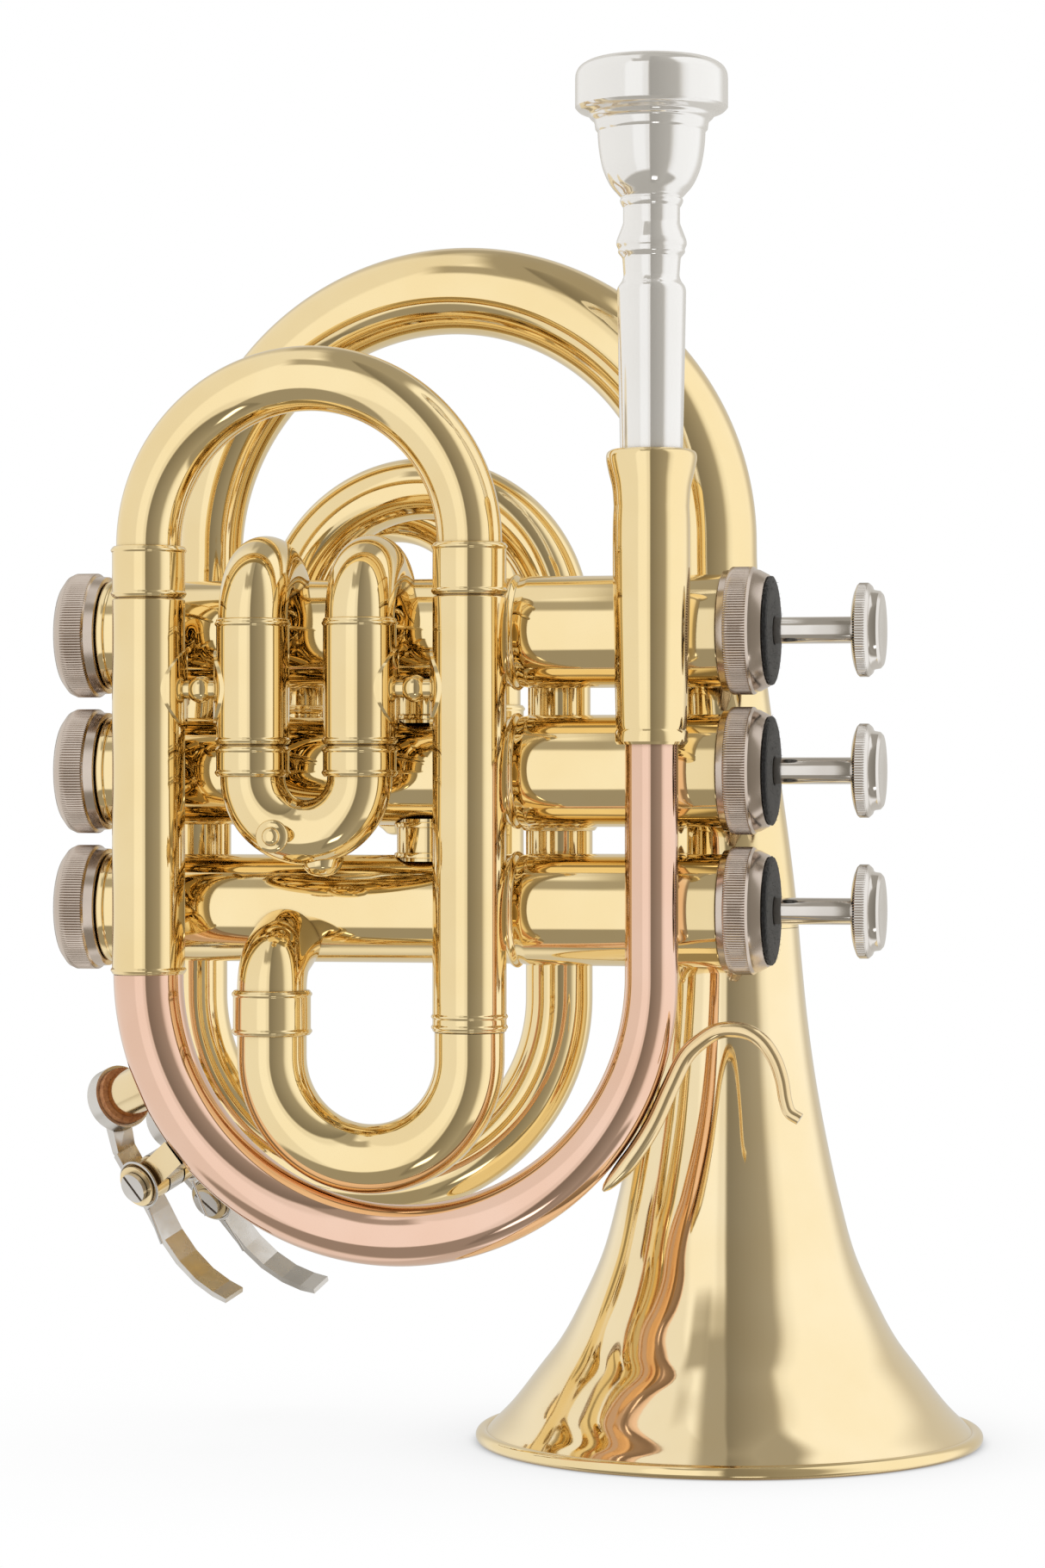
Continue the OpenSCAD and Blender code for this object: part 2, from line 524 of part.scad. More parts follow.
// The lever is a strip that carries the cork's cup, arches over its hinge and curves down to a thumb tail
module water_key(k) color(nickel) difference() {
    union() {
        on_bow(k, seat_angle[k]) translate([0, 0, seat_h]) rotate_extrude()
            polygon([[0, 2.7], [5.25, 2.7], [5.25, 1.2], [5.9, 1.2], [5.9, 4.2], [5.3, 4.7], [0, 4.8]]);
        hull() {
            on_bow(k, seat_angle[k]) translate([-2, -2.4, seat_h + 3.9]) cube([4, 4.8, 1.2]);
            hinge_at(k) translate([-8.2, -1.4, 3.9]) cube([1.4, 4.4, 0.9]);
        }
        hinge_at(k) {
            rotate([90, 0, 0]) cylinder(r = hinge_r, h = 3.6, center = true);
            translate([-2, -1.7, 2]) cube([4, 3.2, 3]);
            translate([0, 3.2, 0]) rotate([90, 0, 0]) linear_extrude(4.8) polygon([[-7.5, 3.6], [-4, 4.35], [0, 4.6],
                [5.3, 5.9], [10.3, 7.3], [15, 7.6], [19.6, 6.8], [23.4, 5], [26, 3.2], [26.6, 4], [24, 6],
                [20, 7.9], [15, 8.9], [10, 8.6], [5, 7.2], [0, 5.9], [-4, 5.6], [-7.5, 4.9]]);
        }
    }
    hinge_at(k) rotate([90, 0, 0]) cylinder(r = 1.05, h = 20, center = true);
}
module water_key_1() water_key(0);
module water_key_2() water_key(1);
module cork(k) color([0.78, 0.45, 0.27]) on_bow(k, seat_angle[k]) translate([0, 0, seat_h + 0.02])
    cylinder(r = 5.2, h = 2.6);
module key_corks_1() cork(0);
module key_corks_2() cork(1);
module key_screws() color(nickel) for (k = [0, 1]) hinge_at(k) rotate([-90, 0, 0]) difference() {
    union() {
        cylinder(r = 1, h = 14.4, center = true);
        translate([0, 0, 7.1]) cylinder(r = 2.8, h = 0.9);
    }
    translate([-3, -0.3, 7.6]) cube([6, 0.6, 2]);
}
module key_springs() color("silver") for (k = [0, 1]) hinge_at(k) for (s = [-1, 1])
    translate([0, s * 6.1, 0]) rotate([90, 0, 0]) {
        rotate_extrude() translate([4.35, 0]) circle(0.28);
        rotate([0, 0, 25]) translate([4.95, 0, 0]) rotate([0, 90, 0]) cylinder(r = 0.28, h = 7);
    }

mouthpiece();
receiver();
leadpipe();
slide_sleeve_left();
slide_sleeve_right();
main_tuning_slide();
main_slide_ferrules();
lower_bow();
lower_bow_ferrule();
valve_casing_1();
valve_casing_2();
valve_casing_3();
knuckles();
piston_1();
piston_2();
piston_3();
valve_guides();
spring_1();
spring_2();
spring_3();
button_1();
button_2();
button_3();
top_cap_1();
top_cap_2();
top_cap_3();
cap_felts();
bottom_cap_1();
bottom_cap_2();
bottom_cap_3();
first_slide_sleeves();
first_slide();
first_slide_ferrules();
first_slide_knobs();
second_slide_sleeves();
second_slide();
second_slide_knob();
third_slide_sleeves();
third_slide();
slide_brace_left();
slide_brace_right();
bell();
bell_rim();
bell_bow();
bell_tail();
tail_arch();
tail_ferrules();
bell_brace();
receiver_brace();
pinky_hook();
water_key_seats();
water_key_1();
water_key_2();
key_corks_1();
key_corks_2();
key_screws();
key_springs();
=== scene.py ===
"""Pocket cornet standing on its bell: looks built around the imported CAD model."""
import json
import math
import random

import bmesh
import bpy
from mathutils import Matrix, Vector, noise


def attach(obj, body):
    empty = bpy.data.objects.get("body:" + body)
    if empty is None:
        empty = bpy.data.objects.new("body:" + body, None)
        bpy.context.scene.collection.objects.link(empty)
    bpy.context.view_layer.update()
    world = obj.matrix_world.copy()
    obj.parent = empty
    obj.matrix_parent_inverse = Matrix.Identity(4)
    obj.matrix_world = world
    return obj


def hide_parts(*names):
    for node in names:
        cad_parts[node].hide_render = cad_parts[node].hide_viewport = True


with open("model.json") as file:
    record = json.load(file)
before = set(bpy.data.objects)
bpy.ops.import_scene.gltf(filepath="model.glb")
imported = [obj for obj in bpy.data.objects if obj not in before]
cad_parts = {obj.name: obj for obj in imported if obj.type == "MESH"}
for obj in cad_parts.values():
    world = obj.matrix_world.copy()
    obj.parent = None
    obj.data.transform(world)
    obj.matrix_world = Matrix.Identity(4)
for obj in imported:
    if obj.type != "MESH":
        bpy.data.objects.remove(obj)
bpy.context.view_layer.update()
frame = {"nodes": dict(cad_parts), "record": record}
nodes = frame["nodes"]
MM = 0.001
TINY = 1e-6  # in mm, a radius or a length that counts as none
SAME_POINT = 1e-3  # in mm, points closer than this count as one
X, Y, Z = (1, 0, 0), (0, 1, 0), (0, 0, 1)


# ---------------------------------------------------------------- mesh helpers
def rotation(axis):
    """Turns local +Z to the named axis."""
    return {
        "z": Matrix.Identity(3),
        "-z": Matrix.Rotation(math.pi, 3, "X"),
        "x": Matrix.Rotation(math.pi / 2, 3, "Y"),
        "-x": Matrix.Rotation(-math.pi / 2, 3, "Y"),
        "y": Matrix.Rotation(-math.pi / 2, 3, "X"),
        "-y": Matrix.Rotation(math.pi / 2, 3, "X"),
    }[axis]


NEARLY_STRAIGHT = 3.0  # radians between a corner's two sides
LARGEST_SHARE = 0.42  # of a side that one corner's curve may take


def rounded(points, size=0.2, steps=3, closed=True):
    """Replaces each corner of a profile by a short curve."""
    out, n = [], len(points)
    for i in range(n):
        if not closed and i in (0, n - 1):
            out.append(tuple(points[i]))
            continue
        p = Vector(points[i])
        a, b = Vector(points[i - 1]) - p, Vector(points[(i + 1) % n]) - p
        if p.x < TINY or a.length < TINY or b.length < TINY or a.angle(b) > NEARLY_STRAIGHT:
            out.append(tuple(p))
            continue
        s = p + a.normalized() * min(size, a.length * LARGEST_SHARE)
        e = p + b.normalized() * min(size, b.length * LARGEST_SHARE)
        for k in range(steps + 1):
            t = k / steps
            out.append(tuple(s * (1 - t) ** 2 + p * 2 * t * (1 - t) + e * t * t))
    return out


def spline(points, per=8):
    """Catmull-Rom curve through points of any size."""
    pts = [Vector(p) for p in points]
    pts = [pts[0] * 2 - pts[1], *pts, pts[-1] * 2 - pts[-2]]
    out = []
    for i in range(1, len(pts) - 2):
        a, b, c, d = pts[i - 1 : i + 3]
        for k in range(per):
            t = k / per
            square, cube = 2 * a - 5 * b + 4 * c - d, 3 * b - a - 3 * c + d
            out.append(0.5 * (2 * b + (c - a) * t + square * t * t + cube * t**3))
    return [*out, pts[-2]]


def mesh_object(name, verts, faces, sharp=32):
    """Smooth-shaded object with sharp edges above an angle in degrees."""
    mesh = bpy.data.meshes.new(name)
    mesh.from_pydata([tuple(v) for v in verts], [], faces)
    bm = bmesh.new()
    bm.from_mesh(mesh)
    bmesh.ops.recalc_face_normals(bm, faces=bm.faces)
    bm.to_mesh(mesh)
    bm.free()
    mesh.polygons.foreach_set("use_smooth", [True] * len(mesh.polygons))
    mesh.set_sharp_from_angle(angle=math.radians(sharp))
    obj = bpy.data.objects.new(name, mesh)
    bpy.context.scene.collection.objects.link(obj)
    return obj


def lathe(profile, at, axis="z", segments=128, closed=True, bump=None):
    """Turned shape in mm, from a profile of (radius, height).

    A closed profile is a ring, and an open one starts and ends on the axis. bump(angle, radius, height) is added
    to the radius.
    """
    turn, base = rotation(axis), Vector(at)
    verts, rows = [], []
    for r, h in profile:
        if r < TINY:
            rows.append([len(verts)])
            verts.append((base + turn @ Vector((0, 0, h))) * MM)
            continue
        rows.append(list(range(len(verts), len(verts) + segments)))
        for i in range(segments):
            a = 2 * math.pi * i / segments
            rr = r + (bump(a, r, h) if bump else 0)
            verts.append((base + turn @ Vector((rr * math.cos(a), rr * math.sin(a), h))) * MM)
    faces = []
    pairs = list(zip(rows, rows[1:] + ([rows[0]] if closed else [])))
    for low, high in pairs:
        for i in range(segments):
            k = (i + 1) % segments
            if len(low) == 1 and len(high) == 1:
                break
            if len(low) == 1:
                faces.append((low[0], high[k], high[i]))
            elif len(high) == 1:
                faces.append((low[i], low[k], high[0]))
            else:
                faces.append((low[i], low[k], high[k], high[i]))
    return verts, faces


def sweep(path, sides=56):
    """Closed round rod in mm along path, a list of (point, radius)."""
    pts = [Vector(p) for p, _ in path]
    verts, faces, n = [], [], len(pts)
    tangents = [(pts[min(i + 1, n - 1)] - pts[max(i - 1, 0)]).normalized() for i in range(n)]
    side = tangents[0].orthogonal().normalized()
    for i in range(n):
        side = (side - tangents[i] * side.dot(tangents[i])).normalized()
        other = tangents[i].cross(side)
        for k in range(sides):
            a = 2 * math.pi * k / sides
            verts.append((pts[i] + (side * math.cos(a) + other * math.sin(a)) * path[i][1]) * MM)
    for i in range(n - 1):
        for k in range(sides):
            m = (k + 1) % sides
            faces.append((i * sides + k, i * sides + m, (i + 1) * sides + m, (i + 1) * sides + k))
    faces.append(tuple(range(sides - 1, -1, -1)))
    faces.append(tuple((n - 1) * sides + k for k in range(sides)))
    return verts, faces


def joined(*shapes):
    """One shape of several."""
    verts, faces = [], []
    for v, f in shapes:
        base = len(verts)
        verts += v
        faces += [tuple(i + base for i in face) for face in f]
    return verts, faces


def arc(centre, radius, start, end, u, w, steps=40):
    """Points on an arc round centre, in the plane of the unit vectors u and w, angles in degrees."""
    c, u, w = Vector(centre), Vector(u), Vector(w)
    return [
        c + (u * math.cos(math.radians(a)) + w * math.sin(math.radians(a))) * radius
        for a in (start + (end - start) * i / steps for i in range(steps + 1))
    ]


def line(a, b, steps=6):
    """Points from a to b."""
    a, b = Vector(a), Vector(b)
    return [a.lerp(b, i / steps) for i in range(steps + 1)]


def route(r, *parts):
    """Joins point lists into one rod of radius r, dropping repeated points."""
    out = []
    for part in parts:
        for p in part:
            if not out or (p - out[-1][0]).length > SAME_POINT:
                out.append((p, r))
    return out


def u_bend(r, xs, y, bend_z, ends_z, start, end, steps, sides):
    """Rod with two upright legs at xs, joined by half a turn round their middle at bend_z."""
    return sweep(route(
        r, line((xs[0], y, ends_z[0]), (xs[0], y, bend_z)),
        arc((sum(xs) / 2, y, bend_z), abs(xs[1] - xs[0]) / 2, start, end, X, Z, steps),
        line((xs[1], y, bend_z), (xs[1], y, ends_z[1]))), sides)


def tuples(points):
    """Vectors as plain tuples."""
    return [tuple(p) for p in points]


# ---------------------------------------------------------------- materials
def node(tree, kind, **sockets):
    """Adds a node: i0 is its first input, Name_x is the input "Name x", and set_x is a property."""
    made = tree.nodes.new(kind)
    for key, value in sockets.items():
        if key.startswith("set_"):
            setattr(made, key[4:], value)
            continue
        target = made.inputs[int(key[1:]) if key[1:].isdigit() else key.replace("_", " ")]
        if isinstance(value, bpy.types.NodeSocket):
            tree.links.new(value, target)
        else:
            target.default_value = value
    return made


def noise_at(tree, coords, scale, detail=3.0, stretch=(1, 1, 1)):
    """Noise from 0 to 1. A small stretch along an axis draws it out along that axis."""
    mapped = node(tree, "ShaderNodeMapping", Vector=coords, Scale=stretch).outputs["Vector"]
    return node(tree, "ShaderNodeTexNoise", Vector=mapped, Scale=scale, Detail=detail).outputs["Fac"]


def ranged(tree, value, low, high, from_low=0.3, from_high=0.7):
    """Maps from_low..from_high, by default where noise mostly lies, to low..high."""
    return node(tree, "ShaderNodeMapRange", i0=value, i1=from_low, i2=from_high, i3=low, i4=high).outputs[0]


def math_in(tree, operation, a, b=0.0, c=0.0):
    """One step of arithmetic in a node tree."""
    return node(tree, "ShaderNodeMath", set_operation=operation, i0=a, i1=b, i2=c).outputs[0]


def blend(tree, share, first, second):
    """Colour that goes from first to second as share goes from 0 to 1."""
    return node(tree, "ShaderNodeMix", set_data_type="RGBA", i0=share, i6=first, i7=second).outputs[2]


def new_material(name):
    """An empty look: the material, its node tree, its shader and the object coordinates."""
    mat = bpy.data.materials.new(name)
    mat.use_nodes = True
    t = mat.node_tree
    return mat, t, t.nodes["Principled BSDF"], node(t, "ShaderNodeTexCoord").outputs["Object"]


DRIFT_SCALE, HAIR_SCALE, SMEAR_SCALE, BUFF_SCALE = 55.0, 900.0, 170.0, 75.0  # noise per metre
CREVICE_ROUGHNESS = 0.16  # added to the roughness in a closed corner
CREVICE_SHADE_TINT = (1.0, 0.8, 0.6)  # the painted shade in a corner is warmer than the metal


def metal(name, colour, deep, rough, grain=(1, 1, 1), wave=1.6e-5, scratch=6e-7, coat=0.0, crevice=0.35,
          crevice_reach=0.0011, metallic=1.0):
    """Polished metal: slow colour drift, darker crevices, hairline scratches, and the slight waves of buffing.

    wave, scratch and crevice_reach are in metres. crevice is the share of colour that the painted shade leaves in a
    closed corner.
    """
    mat, t, shader, coords = new_material(name)
    drift = noise_at(t, coords, DRIFT_SCALE)
    hair = noise_at(t, coords, HAIR_SCALE, 4.0, grain)
    smear = noise_at(t, coords, SMEAR_SCALE, 5.0)
    mixed = blend(t, ranged(t, drift, 0.0, 1.0), (*colour, 1), (*deep, 1))
    # Painted shade: ambient occlusion darkens the base colour towards a warm dark tint in closed corners and the gaps
    # between parts
    occlusion = node(t, "ShaderNodeAmbientOcclusion", Distance=crevice_reach, set_samples=6).outputs["AO"]
    open_share = ranged(t, occlusion, 0.0, 1.0, 0.25, 0.75)
    painted_shade_colour = tuple(c * crevice * tint for c, tint in zip(deep, CREVICE_SHADE_TINT))
    t.links.new(blend(t, open_share, (*painted_shade_colour, 1), mixed), shader.inputs["Base Color"])
    polish = ranged(t, smear, rough * 0.6, rough * 1.5)
    worn = math_in(t, "MULTIPLY_ADD", open_share, -CREVICE_ROUGHNESS, CREVICE_ROUGHNESS)
    t.links.new(math_in(t, "ADD", polish, worn), shader.inputs["Roughness"])
    buff = node(t, "ShaderNodeBump", Strength=1.0, Distance=wave, Height=noise_at(t, coords, BUFF_SCALE, 1.5))
    fine = node(t, "ShaderNodeBump", Strength=1.0, Distance=scratch, Height=hair, Normal=buff.outputs[0])
    t.links.new(fine.outputs[0], shader.inputs["Normal"])
    shader.inputs["Metallic"].default_value = metallic
    shader.inputs["Coat Weight"].default_value = coat
    shader.inputs["Coat Roughness"].default_value = 0.03
    return mat


def matte(name, colour, deep, rough, scale, depth, sheen=0.0, spots=0.0):
    """Felt, cork and plastic: speckled colour with a rough, pitted surface. depth is in metres."""
    mat, t, shader, coords = new_material(name)
    speckle = noise_at(t, coords, scale, 6.0)
    mixed = blend(t, ranged(t, speckle, 0.0, 1.0, 0.38, 0.62), (*deep, 1), (*colour, 1))
    cells = node(t, "ShaderNodeTexVoronoi", Vector=coords, Scale=scale * 0.7).outputs["Distance"]
    pits = ranged(t, cells, 1.0 - spots, 1.0, 0.05, 0.22)
    pit_colour = (*[c * 0.3 for c in deep], 1)
    t.links.new(blend(t, pits, pit_colour, mixed), shader.inputs["Base Color"])
    t.links.new(ranged(t, speckle, rough - 0.1, min(rough + 0.1, 1.0)), shader.inputs["Roughness"])
    bump = node(t, "ShaderNodeBump", Strength=1.0, Distance=depth, Height=speckle)
    t.links.new(bump.outputs[0], shader.inputs["Normal"])
    shader.inputs["Sheen Weight"].default_value = sheen
    return mat


BRASS = metal("brass_lacquered", (0.93, 0.76, 0.44), (0.90, 0.71, 0.38), 0.045, coat=0.25)
BELL_BRASS = metal("brass_bell", (0.95, 0.80, 0.52), (0.93, 0.76, 0.46), 0.045, wave=2.4e-5, coat=0.3)
PALE_BRASS = metal("brass_pale", (0.90, 0.74, 0.46), (0.84, 0.64, 0.36), 0.12, (1, 1, 0.2), coat=0.1)
ROSE = metal("brass_rose", (0.86, 0.60, 0.47), (0.83, 0.55, 0.41), 0.05, coat=0.25)
SILVER = metal("silver_plate", (0.99, 0.98, 0.97), (0.97, 0.955, 0.94), 0.05, coat=0.5, metallic=0.62)
NICKEL = metal("nickel_polished", (0.80, 0.77, 0.74), (0.72, 0.68, 0.64), 0.09, (0.3, 1, 1))
SATIN = metal("nickel_satin", (0.74, 0.72, 0.69), (0.62, 0.59, 0.56), 0.24, (1, 1, 0.25), scratch=2.5e-6)
# The knurled caps get strong painted shade in the grooves between their ridges
KNURL = metal("nickel_knurled", (0.68, 0.59, 0.52), (0.58, 0.49, 0.42), 0.2, crevice=0.3,
              crevice_reach=0.0003)
STEEL = metal("steel_wire", (0.72, 0.71, 0.70), (0.6, 0.59, 0.58), 0.18)
FELT = matte("felt_black", (0.018, 0.018, 0.02), (0.004, 0.004, 0.004), 0.95, 2600.0, 2e-4, sheen=0.35)
CORK = matte("cork_pad", (0.66, 0.31, 0.13), (0.45, 0.18, 0.07), 0.85, 1500.0, 1.2e-4, spots=0.7)
NYLON = matte("nylon_guide", (0.82, 0.82, 0.80), (0.76, 0.76, 0.74), 0.45, 900.0, 2e-5)

SLOT_MATERIAL = {
    "lacquered_brass": BRASS, "rose_brass": ROSE, "silver_plate": SILVER, "nickel": NICKEL,
    "nickel_piston": NICKEL, "black_felt": FELT, "cork": CORK, "guide_plastic": NYLON,
    "spring_steel": STEEL,
}
slot_of = {s["node"]: s["material_slot"] for s in frame["record"]["subparts"]}
body_of_node = {n: b for b, ns in frame["record"]["behaviour"]["bodies"].items() for n in ns}
# Nodes that look unlike the rest of their slot
OTHER_LOOK = {"water_key_1": SATIN, "water_key_2": SATIN, "pinky_hook": PALE_BRASS, "bell": BELL_BRASS,
              "water_key_seats": PALE_BRASS, "key_screws": SATIN}

for name, obj in nodes.items():
    obj.data.materials.clear()
    obj.data.materials.append(OTHER_LOOK.get(name, SLOT_MATERIAL[slot_of[name]]))


def piece(name, shape, cad_nodes, material=None, sharp=32):
    """Makes the object, which rides and takes its slot like the first CAD node it stands for."""
    obj = mesh_object(name, *shape, sharp=sharp)
    first = cad_nodes[0]
    obj.data.materials.append(material or OTHER_LOOK.get(first, SLOT_MATERIAL[slot_of[first]]))
    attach(obj, body_of_node[first])
    return obj


def stand_in(name, shape, *cad_nodes, material=None, sharp=32):
    """A piece that is shown in place of the CAD nodes."""
    obj = piece(name, shape, cad_nodes, material, sharp)
    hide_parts(*cad_nodes)
    return obj


# ---------------------------------------------------------------- shared sizes, in mm, as in the CAD source
FRONT = -42.5  # y of the plane of the front tubes
LEAD_X, LEFT_X, RIGHT_X, ELBOW_X = -7.0, -100.2, -40.2, -76.9
SLEEVE_R, SLEEVE_BORE, LEG_R, LEG_BORE = 6.65, 5.95, 5.9, 5.91
VALVE_Y = -24.0
VALVE_Z = [150.6, 125.2, 99.8]  # first, second and third valve
CASING_END, JOINT_X, CAP_X, BUTTON_X = -113.1, -35.4, 3.1, 27.0
CHAMFER = 0.25


def ring_profile(r_out, r_in, h0, h1, beads=()):
    """Closed ring profile with raised half-round beads at the given heights."""
    outer = [(r_out, h0 + CHAMFER)]
    for b in beads:
        outer += [(r_out, b - 0.45), (r_out + 0.22, b - 0.2), (r_out + 0.28, b), (r_out + 0.22, b + 0.2),
                  (r_out, b + 0.45)]
    outer += [(r_out, h1 - CHAMFER), (r_out - CHAMFER, h1), (r_in, h1), (r_in, h0), (r_out - CHAMFER, h0)]
    return rounded(outer, 0.12, 2)


def ferrule(at, r, bore, height):
    """Collar with a bead near each end."""
    return lathe(ring_profile(r, bore, 0, height, (0.75, height - 0.75)), at)


# ---------------------------------------------------------------- mouthpiece, receiver, leadpipe
T = 251.5  # top of the rim
TIP = T - 91.2  # end of the shank
THROAT_R, SHANK_BORE = 1.85, 4.2
cup = spline([(8.4, T - 0.9), (8.1, T - 2.2), (7.4, T - 4.5), (6.2, T - 7.5), (4.2, T - 9.8), (2.4, T - 11.2),
              (THROAT_R, T - 12.6)], 5)
bowl = spline([(9.6, T - 12.8), (9.5, T - 14.6), (9.2, T - 17), (8.6, T - 19.6), (7.4, T - 22.2),
               (5.9, T - 24)], 6)
rim = spline([(8.5, T - 0.5), (9.0, T - 0.12), (10, T), (11.4, T - 0.35), (12.8, T - 1.2), (13.45, T - 2.3),
              (13.6, T - 3.4)], 5)
lip = rounded([(13.6, T - 8.4), (13.0, T - 9.1), (11.3, T - 9.7), (10.9, T - 10.4), (10.2, T - 10.9),
               (10.0, T - 12.3)], 0.4, 3, False)
waist = rounded(
    [(5.9, T - 24), (5.4, T - 24.5), (5.7, T - 25), (5.3, T - 25.9), (5.05, T - 26.2), (5.05, T - 29),
     (5.5, T - 30.2), (6.2, T - 32), (6.3, T - 32.8), (5.9, T - 33.6), (6, T - 34.2), (5.2, T - 35.1),
     (4.95, T - 38.4), (5.3, T - 39.4), (5.95, T - 40.2), (6.15, T - 41), (5.62, T - 69.2), (4.95, TIP),
     (SHANK_BORE, TIP)], 0.35, 3, False)
profile = [*rim, *lip, *bowl, *waist, (SHANK_BORE, TIP), (THROAT_R, T - 15), *reversed(cup)]
stand_in("mouthpiece_turned", lathe(tuples(profile), (LEAD_X, FRONT, 0), segments=192), "mouthpiece")

R_TOP = T - 69.3  # mouth of the receiver
outside = spline([(6.75, R_TOP - 10), (6.9, R_TOP - 14), (6.88, R_TOP - 24), (6.6, R_TOP - 38), (6.35, 133.2)], 6)
socket = [(6.2, 132.5), (6.5, 132), (6.5, 130.3), (6.15, 129.8), (4.8, 129.8), (SHANK_BORE, 131),
          (SHANK_BORE, TIP - 1), (5.0, TIP), (5.68, R_TOP)]
flare = spline([(7.2, R_TOP), (7.9, R_TOP - 0.5), (8.1, R_TOP - 1.6), (7.7, R_TOP - 3.8), (7, R_TOP - 6.8),
                (6.75, R_TOP - 10)], 6)
stand_in("receiver_turned", lathe(tuples([*flare, *outside, *socket]), (LEAD_X, FRONT, 0)), "receiver")

BOW_Z, LEAD_R, LEAD_GROWTH, BOW_STEPS = 88.1, 4.75, 1.65, 120
bow_c, bow_r = (LEAD_X + LEFT_X) / 2, (LEAD_X - LEFT_X) / 2
lead = [((LEAD_X, FRONT, 131 - 29 * i / 5), LEAD_R) for i in range(6)]
for i, p in enumerate(arc((bow_c, FRONT, BOW_Z), bow_r, 0, -180, X, Z, BOW_STEPS)):
    lead.append((p, LEAD_R + LEAD_GROWTH * i / BOW_STEPS))
stand_in("leadpipe_drawn", sweep(lead, 72), "leadpipe")

# ---------------------------------------------------------------- main tuning slide
for name, x, low, beads in (("left", LEFT_X, 88.1, (88.9,)), ("right", RIGHT_X, 78.3, (79.2, 81.1))):
    shape = lathe(ring_profile(SLEEVE_R, SLEEVE_BORE, low, 156.5, beads), (x, FRONT, 0))
    stand_in(f"sleeve_{name}", shape, f"slide_sleeve_{name}")
stand_in("tuning_slide", u_bend(LEG_R, (LEFT_X, RIGHT_X), FRONT, 166.2, (118, 118), 180, 0, 90, 72),
         "main_tuning_slide")
collars = [ferrule((x, FRONT, 156.7), SLEEVE_R, LEG_BORE, 9.4) for x in (LEFT_X, RIGHT_X)]
stand_in("tuning_ferrules", joined(*collars), "main_slide_ferrules")

# ---------------------------------------------------------------- lower bow into the third valve
ELBOW_R, ELBOW_Z, LOWER_BOW_Z, LOWER_R = 6.6, 85.5, 73.5, 6.3
lower_c, lower_r = (ELBOW_X + RIGHT_X) / 2, (RIGHT_X - ELBOW_X) / 2
elbow = arc((ELBOW_X, FRONT + ELBOW_R, ELBOW_Z), ELBOW_R, 180, 110, Y, Z, 20)
rise = math.radians(70)
into = line(elbow[-1], elbow[-1] + Vector((0, math.sin(rise), math.cos(rise))) * 6.5)
stand_in("lower_bow_drawn", sweep(route(
    LOWER_R, line((RIGHT_X, FRONT, 78.2), (RIGHT_X, FRONT, LOWER_BOW_Z)),
    arc((lower_c, FRONT, LOWER_BOW_Z), lower_r, 0, -180, X, Z, 70),
    line((ELBOW_X, FRONT, LOWER_BOW_Z), (ELBOW_X, FRONT, ELBOW_Z)), elbow, into), 64), "lower_bow")
stand_in("lower_ferrule", ferrule((ELBOW_X, FRONT, 77.3), 7.05, 6.31, 8.2), "lower_bow_ferrule")


# ---------------------------------------------------------------- valves
def knurl(count, depth, low, high):
    """Straight knurling with count grooves, on the band between two heights."""
    def bump(a, r, h):
        if not low <= h <= high:
            return 0.0
        ridge = abs(math.sin(a * count / 2))
        return -depth * (1 - ridge) ** 1.2
    return bump


def band(r, low, high, steps):
    """Upright side of a profile, in steps that the knurling needs."""
    return [(r, low + (high - low) * k / steps) for k in range(steps + 1)]


BORE_R, CAP_R, BUTTON_R = 8.45, 11.6, 8.5
TOP_BAND, BOTTOM_BAND, BUTTON_BAND = (1.7, 5.3), (2.5, 6.3), (0.9, 2.4)
CAP_KNURLS, BUTTON_KNURLS = 144, 108
casing = rounded(
    [(BORE_R, CASING_END), (10.1, CASING_END), (10.2, CASING_END + 0.4), (10.2, CASING_END + 1.3),
     (9.95, CASING_END + 1.5), (9.95, JOINT_X - 0.9), (10.3, JOINT_X - 0.6), (10.68, JOINT_X - 0.1),
     (10.68, JOINT_X + 0.3), (10.3, JOINT_X + 0.7), (9.9, JOINT_X + 1.0), (10.02, JOINT_X + 1.5),
     (10.25, JOINT_X + 2.6), (10.25, CAP_X), (8.85, CAP_X), (8.85, -30.4), (BORE_R, -30.4)], 0.3, 3)
top_cap = [
    (3, 5.6), (3, 6.7), (8.6, 6.7), (8.6, 8.2), (9.9, 8.25), (10.2, 8.1), (11.0, 6.6), (11.15, 5.9), (11.5, 5.6),
    (CAP_R, 5.45), *reversed(band(CAP_R, *TOP_BAND, 5)), (11.45, 1.45), (11.1, 1.3), (10.95, 0.15), (10.4, 0.0),
    (8.8, 0), (8.8, -5), (8.5, -5), (8.5, 5.6)]
bottom_cap = [
    (0, 7.4), (4, 7.6), (8.4, 8.35), (10.0, 8.15), (11.2, 7.2), (11.45, 6.6),
    *reversed(band(CAP_R, *BOTTOM_BAND, 5)), (11.4, 2.35), (11.05, 2.1), (10.9, 0.4), (10.5, 0.25), (8.05, 0.25),
    (8.05, -1), (7.05, -1), (7.05, 5.8), (0, 5.8)]
button = [
    (0, 4.7), (3.4, 4.95), (5.6, 5.1), (6.5, 5.0), (7.0, 4.55), (7.15, 3.6), (7.4, 3.2), (8.0, 3.0), (8.35, 2.6),
    *reversed(band(BUTTON_R, *BUTTON_BAND, 4)), (8.2, 0.6), (7.2, 0.15), (6.6, 0), (1.9, 0), (1.9, -3), (0, -3)]
stem = rounded([(2.42, 5.5), (2.42, 26.9), (2.0, 26.95), (2.0, 5.5)], 0.05, 2)
